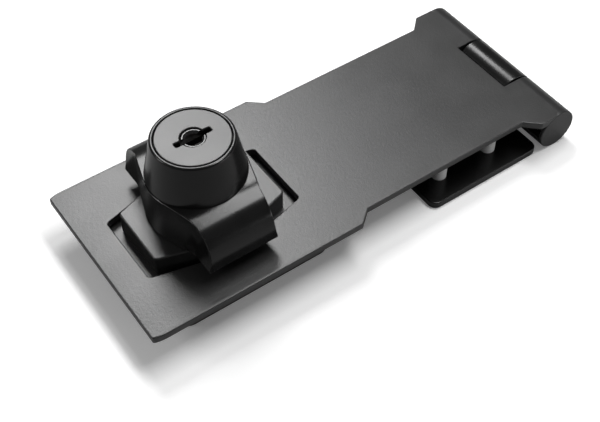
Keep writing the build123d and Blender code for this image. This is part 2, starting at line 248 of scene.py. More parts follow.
strap = sheet_plane("strap", (lock_end, pin_x), head_half, strap_top)
edit(strap)
bisect_at(
    x_places=(*window_x, wide_to, waist_from, waist_to, flare_x, slot_x),
    y_places=(-knuckle_half, -window_mid_y, -slot_half, slot_half, window_mid_y, knuckle_half),
)
pick("FACE", lambda p, ends: window_x[0] < p.x < window_x[3] and abs(p.y) < window_mid_y)
bpy.ops.mesh.delete(type="FACE")
pick("FACE", lambda p, ends: p.x > slot_x and abs(p.y) < slot_half)
bpy.ops.mesh.delete(type="FACE")


def narrow(x_from, x_to, y_was, y_now):
    """Bring the outline's corners between two places along X to a new half width."""
    pick("VERT", lambda p, ends: x_from - 0.1 < p.x < x_to + 0.1 and abs(abs(p.y) - y_was) < 0.01)
    bpy.ops.transform.resize(value=(1, y_now / y_was, 1), center_override=(0, 0, 0))


for edge_y in (knuckle_half, head_half):
    narrow(lock_end, wide_to, edge_y, lock_half - (head_half - edge_y))
    narrow(waist_from, waist_to, edge_y, waist_half - (head_half - edge_y))
narrow(window_x[0], window_x[0], window_mid_y, window_end_y)
narrow(window_x[3], window_x[3], window_mid_y, window_end_y)
bpy.ops.object.mode_set(mode="OBJECT")
print("blank faces", len(strap.data.polygons))

# %% Thickness, corners and the rolled ends
edit(strap)
bpy.ops.mesh.extrude_region_move(TRANSFORM_OT_translate={"value": (0, 0, -sheet * MM)})
bpy.ops.mesh.select_all(action="SELECT")
bpy.ops.mesh.normals_make_consistent(inside=False)


def upright(ends):
    """True for an edge that stands along Z."""
    return abs(ends[0].z - ends[1].z) > 1 and (ends[0] - ends[1]).xy.length < 0.01


def upright_at(x_places, y_place):
    """A test for the upright edges at these places along X, on both sides."""
    return lambda p, ends: (
        upright(ends) and abs(abs(p.y) - y_place) < 0.1
        and min(abs(p.x - x) for x in x_places) < 0.1
    )


pick("EDGE", upright_at([lock_end], lock_half))
bpy.ops.mesh.bevel(offset=lock_end_r * MM, segments=10, affect="EDGES")
for x_places, y_place in ((window_x[::3], window_end_y), (window_x[1:3], window_mid_y)):
    pick("EDGE", upright_at(x_places, y_place))
    bpy.ops.mesh.bevel(offset=window_r * MM, segments=5, affect="EDGES")
pick("FACE", lambda p, ends: p.x > pin_x - 0.01)
bpy.ops.mesh.spin(
    steps=roll_steps, angle=-roll_angle,
    center=(pin_x * MM, 0, pin_z * MM), axis=(0, 1, 0),
)
bpy.ops.mesh.select_all(action="SELECT")
bpy.ops.mesh.remove_doubles(threshold=same_place)
bpy.ops.mesh.normals_make_consistent(inside=False)
bpy.ops.object.mode_set(mode="OBJECT")
print("rolled strap faces", len(strap.data.polygons))

# %% Seats for the pin's head and cap
def lying_drum(name, radius, y_low, y_high, steps=104):
    """A cylinder along Y on the hinge pin's axis."""
    close_edit()
    bpy.ops.mesh.primitive_cylinder_add(
        vertices=steps, radius=radius * MM, depth=(y_high - y_low) * MM,
        location=Vector((pin_x, (y_low + y_high) / 2, pin_z)) * MM,
        rotation=(math.pi / 2, 0, 0),
    )
    piece = bpy.context.active_object
    piece.name = name
    alone(piece)
    bpy.ops.object.transform_apply(location=True, rotation=True, scale=True)
    return piece


head_room = 0.05
bevelled(strap, sheet_edge)
for side in (-1, 1):
    y_low, y_high = sorted((side * knuckle_half, side * (head_half + 1)))
    combine(strap, lying_drum("seat", barrel_r + head_room, y_low, y_high))
smoothed(strap)
fit_to_frame(strap, "hasp", "powder_coat", "hasp_strap")

# %% [markdown]
# ## Leaf
# The leaf is the hinge's other half: a smaller plate of the same steel, fixed to
# the door, with one middle knuckle rolled up between the strap's two. It is drawn
# the same way as the strap, flat first, then thickened and rolled, so that the two
# halves of the hinge have the same roll and the same gaps.

# %% Leaf plate and its knuckle
leaf_x0, leaf_x1, leaf_half, tab_half = 46.8, 78.4, 22.5, 7.9
leaf_corner_r = 2.0
leaf = sheet_plane("leaf", (leaf_x0, pin_x), leaf_half, sheet)
edit(leaf)
bisect_at(x_places=(leaf_x1,), y_places=(-tab_half, tab_half))
pick("FACE", lambda p, ends: p.x > leaf_x1 and abs(p.y) > tab_half)
bpy.ops.mesh.delete(type="FACE")
bpy.ops.mesh.select_all(action="SELECT")
bpy.ops.mesh.extrude_region_move(TRANSFORM_OT_translate={"value": (0, 0, -sheet * MM)})
bpy.ops.mesh.select_all(action="SELECT")
bpy.ops.mesh.normals_make_consistent(inside=False)
pick("EDGE", upright_at([leaf_x0, leaf_x1], leaf_half))
bpy.ops.mesh.bevel(offset=leaf_corner_r * MM, segments=8, affect="EDGES")
pick("FACE", lambda p, ends: p.x > pin_x - 0.01)
bpy.ops.mesh.spin(
    steps=roll_steps, angle=roll_angle,
    center=(pin_x * MM, 0, pin_z * MM), axis=(0, 1, 0),
)
bpy.ops.mesh.select_all(action="SELECT")
bpy.ops.mesh.remove_doubles(threshold=same_place)
bpy.ops.mesh.normals_make_consistent(inside=False)
bpy.ops.object.mode_set(mode="OBJECT")
print("leaf faces", len(leaf.data.polygons))

# %% Mounting holes and rivet holes in the leaf
hole_r, head_r, over = 2.2, 3.9, 0.5
leaf_mid, leaf_hole_y = (leaf_x0 + leaf_x1) / 2, 9.5
rivet_r, stud_x, stud_y = 1.25, (53.6, 68.3), 15.8


def sunk_hole(centre, top):
    """A mounting hole with its 90 degree countersink, as a tool to cut with."""
    cutter = drum("cutter", centre, hole_r, -over, top + over, steps=64)
    sink = head_r - hole_r
    cone = drum("cone", centre, hole_r, top - sink, top + over, head_r + over, steps=64)
    return combine(cutter, cone, "UNION")


bevelled(leaf, sheet_edge)
for side in (-1, 1):
    combine(leaf, sunk_hole((leaf_mid, side * leaf_hole_y), sheet))
stud_places = [(x, side * stud_y) for side in (-1, 1) for x in stud_x]
for place in stud_places:
    combine(leaf, drum("cutter", place, rivet_r, -over, sheet + over, steps=32))
smoothed(leaf)
fit_to_frame(leaf, "leaf", "powder_coat", "hinge_leaf")

# %% [markdown]
# ## Turned pieces
# The studs, the hinge pin's head and the cap on its far end come off a lathe. Each
# could be a cylinder with a Bevel modifier, but a lathe has its own way to do it:
# half of the section is drawn as a line, and the spin operator carries it round
# the axis. The rounding of each edge is then simply part of the drawn line.

# %% A lathe
def rounded(profile, radii, steps=4):
    """The same line with an arc of this radius at each corner that has one."""
    line = []
    for i, here in enumerate(profile):
        here = Vector(here)
        if not radii.get(i):
            line.append(here)
            continue
        to_last = (Vector(profile[i - 1]) - here).normalized()
        to_next = (Vector(profile[(i + 1) % len(profile)]) - here).normalized()
        half = to_last.angle(to_next) / 2
        centre = here + (to_last + to_next).normalized() * radii[i] / math.sin(half)
        start = here + to_last * radii[i] / math.tan(half) - centre
        end = here + to_next * radii[i] / math.tan(half) - centre
        for k in range(steps + 1):
            line.append(centre + start.lerp(end, k / steps).normalized() * radii[i])
    return line


def lathe(name, profile, centre, axis, steps=96):
    """Spin a line of (radius, height) points round an axis through the centre."""
    outward = Vector((1, 0, 0))
    axis = Vector(axis)
    points = [Vector(centre) + outward * r + axis * h for r, h in profile]
    mesh = bpy.data.meshes.new(name)
    mesh.from_pydata([p * MM for p in points], [(i, i + 1) for i in range(len(points) - 1)], [])
    piece = bpy.data.objects.new(name, mesh)
    bpy.context.scene.collection.objects.link(piece)
    edit(piece)
    bpy.ops.mesh.spin(
        steps=steps, angle=2 * math.pi, center=Vector(centre) * MM, axis=axis,
    )
    bpy.ops.mesh.select_all(action="SELECT")
    bpy.ops.mesh.remove_doubles(threshold=0.001 * MM)
    bpy.ops.mesh.normals_make_consistent(inside=False)
    bpy.ops.object.mode_set(mode="OBJECT")
    return piece


print("lathe ready")

# %% Studs
stud_r, stud_neck_r, stud_low, stud_top = 1.8, 1.15, 0.01, 8.0
stud_seat = sheet + 0.02
stud_line = rounded(
    [(0, stud_low), (stud_neck_r, stud_low), (stud_neck_r, stud_seat), (stud_r, stud_seat),
     (stud_r, stud_top), (0, stud_top)],
    {1: 0.1, 4: 0.35},
)
stud = lathe("stud_1", stud_line, (*stud_places[0], 0), (0, 0, 1), steps=48)
smoothed(stud)
studs = [stud]
for number, place in enumerate(stud_places[1:], start=2):
    copy = stud.copy()
    copy.data = stud.data.copy()
    copy.name = f"stud_{number}"
    bpy.context.scene.collection.objects.link(copy)
    alone(copy)
    copy.location = (Vector(place) - Vector(stud_places[0])).to_3d() * MM
    bpy.ops.object.transform_apply(location=True, rotation=True, scale=True)
    studs.append(copy)
for number, copy in enumerate(studs, start=1):
    fit_to_frame(copy, "leaf", "stud_steel", f"leaf_stud_{number}")

# %% Hinge pin and end cap
pin_r = 3.0
rivet_end = pin_r / 2
pin_line = rounded(
    [(0, -head_half), (barrel_r, -head_half), (barrel_r, -knuckle_half), (pin_r, -knuckle_half),
     (pin_r, knuckle_half), (rivet_end, knuckle_half), (rivet_end, head_half), (0, head_half)],
    {1: 0.25, 6: 0.15},
)
pin = lathe("pin", pin_line, (pin_x, 0, pin_z), (0, 1, 0), steps=104)
smoothed(pin)
fit_to_frame(pin, "hasp", "black_pin", "hinge_pin")

cap_bore = rivet_end + head_room
cap_line = rounded(
    [(cap_bore, knuckle_half), (barrel_r, knuckle_half), (barrel_r, head_half),
     (cap_bore, head_half), (cap_bore, knuckle_half)],
    {2: 0.25, 3: 0.1},
)
cap = lathe("end_cap", cap_line, (pin_x, 0, pin_z), (0, 1, 0), steps=104)
smoothed(cap)
fit_to_frame(cap, "hasp", "black_pin", "pin_end_cap")

# %% [markdown]
# ## Lock base
# The base is one zinc casting: a rounded block, and on it the six-sided boss that
# comes up through the strap's window. Drawing it as one cube with insets would
# tie the boss's corners to the block's, so block and boss are made apart and
# joined by a Boolean, and the bore, the recess underneath and the four mounting
# holes are cut out afterwards, as a drill would. A low lip runs out from the block
# under the window's lock-side edge: the pale strip between window and boss.

# %% Block and boss
base_top, boss_top, casting_edge = 7.65, 12.8, 0.35
base_x, base_half, base_corner_r = (-16.1, 21.9), 17.8, 3.0
boss_x, boss_end_y, boss_mid_y = (-15.4, -4.0, 5.0, 16.4), 7.5, 11.0
boss_low, boss_corner_r = 1, 0.7
lip_x, lip_half, lip_low = (-18.6, -12), 12, 5.4

base = block("base", (base_x[0], -base_half, 0), (base_x[1], base_half, base_top))
edit(base)
pick("EDGE", lambda p, ends: upright(ends))
bpy.ops.mesh.bevel(offset=base_corner_r * MM, segments=8, affect="EDGES")

boss = block("boss", (boss_x[0], -boss_mid_y, boss_low), (boss_x[3], boss_mid_y, boss_top))
edit(boss)
bisect_at(x_places=boss_x[1:3])
for end_x in (boss_x[0], boss_x[3]):
    narrow(end_x, end_x, boss_mid_y, boss_end_y)
pick("EDGE", lambda p, ends: upright(ends))
bpy.ops.mesh.bevel(offset=boss_corner_r * MM, segments=4, affect="EDGES")
lip = block("lip", (lip_x[0], -lip_half, lip_low), (lip_x[1], lip_half, base_top))
combine(bevelled(base, casting_edge), bevelled(lip, casting_edge), "UNION")
combine(base, bevelled(boss, casting_edge), "UNION")
print("base faces", len(base.data.polygons))

# %% Bore, washer recess, notches and mounting holes
hub_bore, recess_r, recess_up, lug_room_r = 8.25, 10.6, 3.2, 12.8
lug_from, lug_to = 214, 326
combine(base, drum("bore", (0, 0), hub_bore, -over, boss_top + over))
recess = drum("recess", (0, 0), recess_r, -over, recess_up)
lug_room = drum("lug_room", (0, 0), lug_room_r, -over, recess_up)
edit(lug_room)
for turn, keep_inner in ((lug_from, False), (lug_to, True)):
    way = Vector((-math.sin(math.radians(turn)), math.cos(math.radians(turn)), 0))
    bpy.ops.mesh.select_all(action="SELECT")
    bpy.ops.mesh.bisect(
        plane_co=(0, 0, 0), plane_no=way, use_fill=True,
        clear_inner=not keep_inner, clear_outer=keep_inner,
    )
bpy.ops.object.mode_set(mode="OBJECT")
combine(recess, lug_room, "UNION")
combine(base, recess)
notch_half, notch_reach, notch_top = 3.5, 10.98, 6.7
notches = block("notch", (0, -notch_half, -over), (notch_reach, notch_half, notch_top))
notch_2 = block("notch_2", (-notch_half, 0, -over), (notch_half, notch_reach, notch_top))
combine(notches, notch_2, "UNION")
combine(base, notches)
hole_x, hole_y = 11.8, 13.2
for x in (-hole_x, hole_x):
    for y in (-hole_y, hole_y):
        combine(base, sunk_hole((x, y), base_top))
smoothed(base)
fit_to_frame(base, "hasp", "powder_coat", "lock_base")

# %% [markdown]
# ## Knob
# The knob is a single casting, and its saddle is the hardest form of the lock: a
# round collar drawn out by straight tangents to two parallel-sided wings, hollowed
# a little at half height, with both ends rounded over in one big shoulder that is
# slightly fuller than an arc. A Boolean of a cone, a box and a cylinder would meet
# in broken seams just where the light runs, so the saddle is drawn as one outline
# and lifted level by level: each extrude brings a new ring of corners, which then
# move to that level's outline.

# %% Outline of the saddle at one height
saddle_z, cone_z, knob_top = 13.2, 23.5, 33.0
saddle_half, shoulder_r, wing_root, blend_r = 17.3, 8.4, 11.5, 6.0
shoulder_run, fullness, shoulder_steps = 8.7, 0.88, 18
collar_radii, wing_halves = (11.7, 10.825, 10.95), (8.3, 7.65, 8.0)
side_steps, end_steps = 26, 10


def through(values, share):
    """A parabola through three values, at foot, half height and top."""
    foot, middle, top = values
    lower = foot + (middle - foot) * 2 * share
    upper = middle + (top - middle) * (2 * share - 1)
    return lower + (upper - lower) * share


def side_x(y, collar_r, wing_half):
    """How far the saddle's side stands off the axis at a place along the wings."""
    root_away = math.hypot(wing_half, wing_root)
    turn = math.atan2(wing_root, wing_half) - math.acos(collar_r / root_away)
    blend_len = blend_r * math.tan(turn / 2)
    blend_y = wing_root + blend_len
    if y >= blend_y:
        return wing_half
    if y >= wing_root - blend_len * math.cos(turn):
        return wing_half + blend_r - math.sqrt(blend_r**2 - (blend_y - y) ** 2)
    if y >= collar_r * math.sin(turn):
        return collar_r * math.cos(turn) - (y - collar_r * math.sin(turn)) * math.tan(turn)
    return math.sqrt(collar_r**2 - y**2)


def outline(height, end_y):
    """The ring of corners of one level, once round from the middle of the right side."""
    share = (height - saddle_z) / (cone_z - saddle_z)
    collar_r, wing_half = through(collar_radii, share), through(wing_halves, share)
    side_y = [end_y * k / side_steps for k in range(side_steps + 1)]
    side = [Vector((side_x(y, collar_r, wing_half), y)) for y in side_y]
    end = [Vector((side[-1].x * (1 - 2 * k / end_steps), end_y)) for k in range(1, end_steps)]
    left = [Vector((-p.x, p.y)) for p in reversed(side)]
    upper = side + end + left
    lower = [Vector((-p.x, -p.y)) for p in upper[1:-1]]
    return [Vector((p.x, p.y, height)) * MM for p in upper + lower]


print("corners in one ring", len(outline(saddle_z, saddle_half)))

# %% Lift the saddle level by level
shoulder_z = cone_z - shoulder_r
levels = [(saddle_z, saddle_half), (shoulder_z, saddle_half)]
for step in range(1, shoulder_steps + 1):
    turn = math.radians(90 * step / shoulder_steps)
    levels.append((shoulder_z + shoulder_r * math.sin(turn) ** fullness,
                   saddle_half - shoulder_run * (1 - math.cos(turn) ** fullness)))

level_ring = outline(*levels[0])
close_edit()
bpy.ops.mesh.primitive_circle_add(
    vertices=len(level_ring), radius=saddle_half * MM, fill_type="NGON",
)
knob = bpy.context.active_object
knob.name = "knob"
edit(knob)


def move_ring(now, then):
    """Move each picked corner from its place in one ring to the same place in the next."""
    mesh = bmesh.from_edit_mesh(knob.data)
    for corner in [v for v in mesh.verts if v.select]:
        nearest = min(range(len(now)), key=lambda k: (now[k].xy - corner.co.xy).length_squared)
        corner.co = then[nearest]
    bmesh.update_edit_mesh(knob.data)


for corner in bmesh.from_edit_mesh(knob.data).verts:
    corner.co = level_ring[corner.index]
for height, end_y in levels[1:]:
    bpy.ops.mesh.extrude_region_move(TRANSFORM_OT_translate={"value": (0, 0, 0.1 * MM)})
    next_ring = outline(height, end_y)
    move_ring(level_ring, next_ring)
    level_ring = next_ring
bpy.ops.mesh.select_all(action="SELECT")
bpy.ops.mesh.normals_make_consistent(inside=False)
bpy.ops.object.mode_set(mode="OBJECT")
print("saddle faces", len(knob.data.polygons))

# %% Soften the saddle, then add grip and hub from the lathe
saddle_edge, up = 0.22, (0, 0, 1)
bevelled(knob, saddle_edge)
hub_r, hub_end, groove_r, groove = 8.0, 0.6, 7.2, (1.45, 2.35)
grip_foot_r, grip_top_r, rim_in, bore_in, tail_r = 10.8, 8.75, 8.0, 6.15, 3.65
face_z, face_seat, plug_z, bolt_z = 32.4, 30.75, 14.5, 3.6
grip_line = rounded(
    [(0, hub_end), (hub_r, hub_end), (hub_r, groove[0]), (groove_r, groove[0]),
     (groove_r, groove[1]), (hub_r, groove[1]), (hub_r, saddle_z + 2),
     (grip_foot_r - 0.2, cone_z - 0.6), (grip_foot_r, cone_z - 0.3), (grip_top_r, knob_top),
     (rim_in, knob_top), (rim_in, face_seat), (bore_in, face_seat), (bore_in, plug_z),
     (tail_r, plug_z), (tail_r, bolt_z), (0, bolt_z)],
    {1: 0.3, 9: 0.5, 10: 0.18},
)
grip = lathe("grip", grip_line, (0, 0, 0), up, steps=128)
bolt_from, bolt_half, bolt_low, bolt_high = -5.75, 3.35, 3.45, 6.55
past_hub, flat_y, flat_top = 9, 7.2, 3.2
bolt_slot = block("bolt_slot", (bolt_from, -bolt_half, bolt_low), (past_hub, bolt_half, bolt_high))
combine(grip, bolt_slot)
for side in (-1, 1):
    y_low, y_high = sorted((side * flat_y, side * past_hub))
    combine(grip, block("flat", (-past_hub, y_low, 0), (past_hub, y_high, flat_top)))
combine(knob, drum("middle", (0, 0), hub_r - 0.3, saddle_z - 1, cone_z + 1, steps=128))
combine(knob, grip, "UNION")
smoothed(knob, angle=30)
fit_to_frame(knob, "knob", "black_casting", "knob_body")

# %% [markdown]
# ## Face and keyhole
# The grey face is a thin pressed disc that turns with the lock's cylinder. Its
# keyhole is a round hole crossed by a slot. Both are stamped through, so the disc
# is cut with two simple tools at once, and only then are its edges rounded, because
# the press rounds the hole's edge as well.

# %% Face
face_r, keyhole_r, slot_reach, slot_side, slot_corner, face_edge = 7.78, 2.7, 4.25, 0.68, 0.35, 0.17
face = drum("face", (0, 0), face_r, face_z, knob_top, steps=128)
keyhole = drum("keyhole", (0, 0), keyhole_r, face_z - 1, knob_top + 1, steps=64)
slot = block("slot", (-slot_reach, -slot_side, face_z - 1), (slot_reach, slot_side, knob_top + 1))
edit(slot)
pick("EDGE", lambda p, ends: upright(ends))
bpy.ops.mesh.bevel(offset=slot_corner * MM, segments=4, affect="EDGES")
combine(keyhole, slot, "UNION")
combine(face, keyhole)
smoothed(bevelled(face, face_edge))
fit_to_frame(face, "plug", "face_plate", "plug_face")

# %% [markdown]
# ## Lead-in round the keyway
# In the keyhole stands the end of the lock's cylinder: a ring whose top slopes in
# towards the keyway. On the lock it is turned on the cylinder, and the slot is cut
# through both. A torus would be too round for it, so a turned disc has a turned
# cone and then the slot taken out of it. Its flat rim mirrors the lamps and its
# slope the dark room, which gives the thin bright line round a black hole.

# %% Ring round the keyway
ring_r, ring_in, ring_top, ring_gap = 2.4, 1.7, face_z + 0.5, 0.75
ring_line = [(0, face_z), (ring_r, face_z), (ring_r, ring_top), (0, ring_top)]
cone_line = [(0, face_z - 1), (ring_in, face_z - 1), (ring_in, face_z),
             (ring_in + 1, face_z + 1), (0, face_z + 1)]
ring_place = (0, -0.25, 0)
ring = lathe("keyway_ring", ring_line, ring_place, up, steps=64)
combine(ring, lathe("lead_in", cone_line, ring_place, up, steps=64))
combine(ring, block("slot", (-4, -ring_gap, face_z - 1), (4, ring_gap, knob_top + 1)))
smoothed(ring)
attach(ring, "plug")
print("keyway ring", len(ring.data.polygons))

# %% [markdown]
# ## Finishes
# Nearly everything on this lock is black, so what the eye reads is gloss, grain and
# the edges. Strap and base have a fine powder coat, the knob a smoother semi-gloss
# one, the face a satin grey one, and the leaf the strap's coat made smoother and
# painted darker, as painted shade under the strap. A flat colour would look like
# plastic, and a picture of the coat would stretch on the rolled ends. So the grain,
# the painted line along the edges (a painted highlight on most finishes, a painted
# dark outline on the powder coat) and the lathe's lines are each a small group of
# procedural nodes, built once and then given its own values in each finish.

# %% Node groups: the shared parts
def node_group(name, inputs, outputs):
    """An empty group with number sockets, and its input and output nodes."""
    group = bpy.data.node_groups.new(name, "ShaderNodeTree")
    for label, start in inputs.items():
        socket = group.interface.new_socket(label, in_out="INPUT", socket_type="NodeSocketFloat")
        socket.default_value = start
    for label in outputs:
        group.interface.new_socket(label, in_out="OUTPUT", socket_type="NodeSocketFloat")
    return group, group.nodes.new("NodeGroupInput"), group.nodes.new("NodeGroupOutput")


def add_node(tree, kind, **values):
    """A new node of this kind, with its own settings and socket values."""
    node = tree.nodes.new(kind)
    for key, value in values.items():
        if key.startswith("in_"):
            node.inputs[key[3:].replace("_", " ")].default_value = value
        else:
            setattr(node, key, value)
    return node


print("group helpers ready")

# %% [markdown]
# A powder coat flows out before it sets, so it is never quite flat: fine grains lie
# on longer waves, and the gloss drifts a little from place to place. Displacing the
# mesh would need millions of faces, so three noises of three sizes do it here.

# %% Grain of a sprayed coat
grain, inside, outside = node_group(
    "coat_grain", {"Grains": 3200, "Low": 0.36, "High": 0.46}, ("Height", "Roughness", "Shade")
)
place = add_node(grain, "ShaderNodeTexCoord")
fine = add_node(grain, "ShaderNodeTexNoise", in_Detail=2.0, in_Roughness=0.5)
broad = add_node(grain, "ShaderNodeTexNoise", in_Scale=90.0, in_Detail=3.0, in_Roughness=0.6)
wave = add_node(grain, "ShaderNodeTexNoise", in_Scale=1300.0, in_Detail=1.0)
height = add_node(grain, "ShaderNodeMath", operation="MULTIPLY_ADD")
fine_share = 1.2
height.inputs[1].default_value = fine_share
range_rough = add_node(grain, "ShaderNodeMapRange", in_From_Min=0.3, in_From_Max=0.7)
grain.links.new(inside.outputs["Grains"], fine.inputs["Scale"])
for noise in (fine, broad, wave):
    grain.links.new(place.outputs["Object"], noise.inputs["Vector"])
grain.links.new(fine.outputs["Fac"], height.inputs[0])
grain.links.new(wave.outputs["Fac"], height.inputs[2])
grain.links.new(broad.outputs["Fac"], range_rough.inputs["Value"])
grain.links.new(inside.outputs["Low"], range_rough.inputs["To Min"])
grain.links.new(inside.outputs["High"], range_rough.inputs["To Max"])
grain.links.new(height.outputs["Value"], outside.inputs["Height"])
grain.links.new(range_rough.outputs["Result"], outside.inputs["Roughness"])
grain.links.new(broad.outputs["Fac"], outside.inputs["Shade"])
print("group", grain.name)

# %% [markdown]
# Along each edge a line of another colour is painted: darker on the strap and base,
# a painted dark outline, and lighter on the casting, leaf, pin and face, a painted
# highlight; only a little of it is a sprayed coat drawing back from a sharp corner.
# Painting that line by hand would miss the small holes. The mask asks instead how
# much metal lies within a third of a millimetre under the surface, which is less
# at an edge.

# %% Painted highlight and dark outline along the edges
edges, inside, outside = node_group("thin_edges", {"From": 0.2, "To": 0.5}, ("Mask",))
depth = add_node(edges, "ShaderNodeAmbientOcclusion", inside=True, only_local=True, samples=8,
                 in_Distance=0.3 * MM)
place = add_node(edges, "ShaderNodeTexCoord")
patches = add_node(edges, "ShaderNodeTexNoise", in_Scale=260.0, in_Detail=4.0, in_Roughness=0.6)
near = add_node(edges, "ShaderNodeMath", operation="SUBTRACT")
near.inputs[0].default_value = 1.0
rim = add_node(edges, "ShaderNodeMapRange", interpolation_type="SMOOTHSTEP")
uneven = add_node(edges, "ShaderNodeMapRange", in_From_Min=0.35, in_From_Max=0.6, in_To_Min=0.35)
both = add_node(edges, "ShaderNodeMath", operation="MULTIPLY")
edges.links.new(depth.outputs["AO"], near.inputs[1])
edges.links.new(near.outputs["Value"], rim.inputs["Value"])
edges.links.new(inside.outputs["From"], rim.inputs["From Min"])
edges.links.new(inside.outputs["To"], rim.inputs["From Max"])
edges.links.new(place.outputs["Object"], patches.inputs["Vector"])
edges.links.new(patches.outputs["Fac"], uneven.inputs["Value"])
edges.links.new(rim.outputs["Result"], both.inputs[0])
edges.links.new(uneven.outputs["Result"], both.inputs[1])
edges.links.new(both.outputs["Value"], outside.inputs["Mask"])
print("group", edges.name)

# %% [markdown]
# Studs, wafers and springs are bare metal, with fine lines where a tool or a die
# ran along them. A picture of brushed metal would have to be unwrapped on each
# piece. A noise stretched along one or two axes gives such lines on all of them.

# %% Fine lines left by a tool
lines, inside, outside = node_group(
    "tool_lines", {"Along X": 1, "Along Y": 1, "Along Z": 1, "Low": 0.25, "High": 0.4},
    ("Height", "Roughness", "Shade"),
)
place = add_node(lines, "ShaderNodeTexCoord")
stretch = add_node(lines, "ShaderNodeVectorMath", operation="MULTIPLY")
ways = add_node(lines, "ShaderNodeCombineXYZ")
scratches = add_node(lines, "ShaderNodeTexNoise", in_Scale=2500.0, in_Detail=3.0, in_Roughness=0.6)
range_rough = add_node(lines, "ShaderNodeMapRange", in_From_Min=0.3, in_From_Max=0.7)
for axis in "XYZ":
    lines.links.new(inside.outputs[f"Along {axis}"], ways.inputs[axis])
lines.links.new(place.outputs["Object"], stretch.inputs[0])
lines.links.new(ways.outputs["Vector"], stretch.inputs[1])
lines.links.new(stretch.outputs["Vector"], scratches.inputs["Vector"])
lines.links.new(scratches.outputs["Fac"], range_rough.inputs["Value"])
lines.links.new(inside.outputs["Low"], range_rough.inputs["To Min"])
lines.links.new(inside.outputs["High"], range_rough.inputs["To Max"])
lines.links.new(scratches.outputs["Fac"], outside.inputs["Height"])
lines.links.new(scratches.outputs["Fac"], outside.inputs["Shade"])
lines.links.new(range_rough.outputs["Result"], outside.inputs["Roughness"])
print("group", lines.name)

# %% [markdown]
# A finish is then one Principled shader: two close shades mixed by the group's
# noise, a third one, the painted edge line, laid along the edges by their mask, the
# roughness range, and the height through a Bump node. What is the same all over,
# such as how much the coat reflects, is set on the shader itself.

# %% Make a finish
def finish(name, group, dark, light, bump, values, metallic=0.0, specular=0.5, edge=None):
    """A material whose shade, gloss and bump come from one of the groups."""
    material = bpy.data.materials.new(name)
    material.use_nodes = True
    tree = material.node_tree
    shader = tree.nodes["Principled BSDF"]
    shader.inputs["Metallic"].default_value = metallic
    shader.inputs["Specular IOR Level"].default_value = specular
    pattern = add_node(tree, "ShaderNodeGroup", node_tree=group)
    for label, value in values.items():
        pattern.inputs[label].default_value = value
    shade = add_node(tree, "ShaderNodeMapRange", in_From_Min=0.35, in_From_Max=0.65)
    mix = add_node(tree, "ShaderNodeMix", data_type="RGBA")
    mix.inputs["A"].default_value, mix.inputs["B"].default_value = (*dark, 1), (*light, 1)
    relief = add_node(tree, "ShaderNodeBump", in_Strength=1.0, in_Distance=bump * MM)
    tree.links.new(pattern.outputs["Shade"], shade.inputs["Value"])
    tree.links.new(shade.outputs["Result"], mix.inputs["Factor"])
    tree.links.new(pattern.outputs["Roughness"], shader.inputs["Roughness"])
    tree.links.new(pattern.outputs["Height"], relief.inputs["Height"])
    tree.links.new(relief.outputs["Normal"], shader.inputs["Normal"])
    colour = mix
    # Along the edges a painted line: lighter as a painted highlight, darker as a painted dark
    # outline.
    if edge:
        thin = add_node(tree, "ShaderNodeGroup", node_tree=edges)
        colour = add_node(tree, "ShaderNodeMix", data_type="RGBA")
        colour.inputs["B"].default_value = (*edge, 1)
        tree.links.new(mix.outputs["Result"], colour.inputs["A"])
        tree.links.new(thin.outputs["Mask"], colour.inputs["Factor"])
    tree.links.new(colour.outputs["Result"], shader.inputs["Base Color"])
    return material


def grey(value, warm=0.0):
    """A grey, with a little more red than blue if it is warm."""
    return (value * (1 + warm), value, value * (1 - warm))


# The powder coat's edge colour is darker than the coat: a painted dark outline along the edges of
# strap and base.
powder = finish("powder_coat", grain, grey(0.012), grey(0.018), 0.016,
                {"Grains": 3000, "Low": 0.34, "High": 0.37}, specular=0.68, edge=grey(0.006))
# The leaf's coat is the strap's coat painted darker, as painted shade for where it lies under the
# strap; its lighter edge colour is a painted highlight.
leaf_shaded_coat = finish("leaf_coat_painted_shade", grain, grey(0.003), grey(0.006), 0.006,
                    {"Grains": 3000, "Low": 0.23, "High": 0.28}, specular=0.4, edge=grey(0.03))
# The casting's light edge colour is a painted highlight along its edges.
casting = finish("black_casting", grain, grey(0.005), grey(0.009), 0.002,
                 {"Grains": 2000, "Low": 0.17, "High": 0.22}, specular=0.3, edge=grey(0.26))
# Pin and face get lighter edges: partly a thin coat at the edge, partly a painted highlight.
pin_black = finish("black_pin", grain, grey(0.016), grey(0.024), 0.006,
                   {"Grains": 3000, "Low": 0.36, "High": 0.46}, edge=grey(0.05))
face_grey = finish("face_plate", grain, grey(0.04), grey(0.055), 0.003,
                   {"Grains": 3000, "Low": 0.34, "High": 0.38}, specular=0.6, edge=grey(0.1))
# The plug's near-black colour is partly painted shade, so that the keyway reads as a deep black
# slot.
plug_painted_shade = finish("plug_metal", lines, grey(0.004, 0.1), grey(0.01, 0.1), 0.004,
                   {"Along Z": 0.1, "Low": 0.4, "High": 0.5}, specular=0.1)
ring_metal = finish("keyway_ring", lines, grey(0.008), grey(0.016), 0.002,
                    {"Along X": 0.2, "Low": 0.24, "High": 0.3}, specular=0.6)
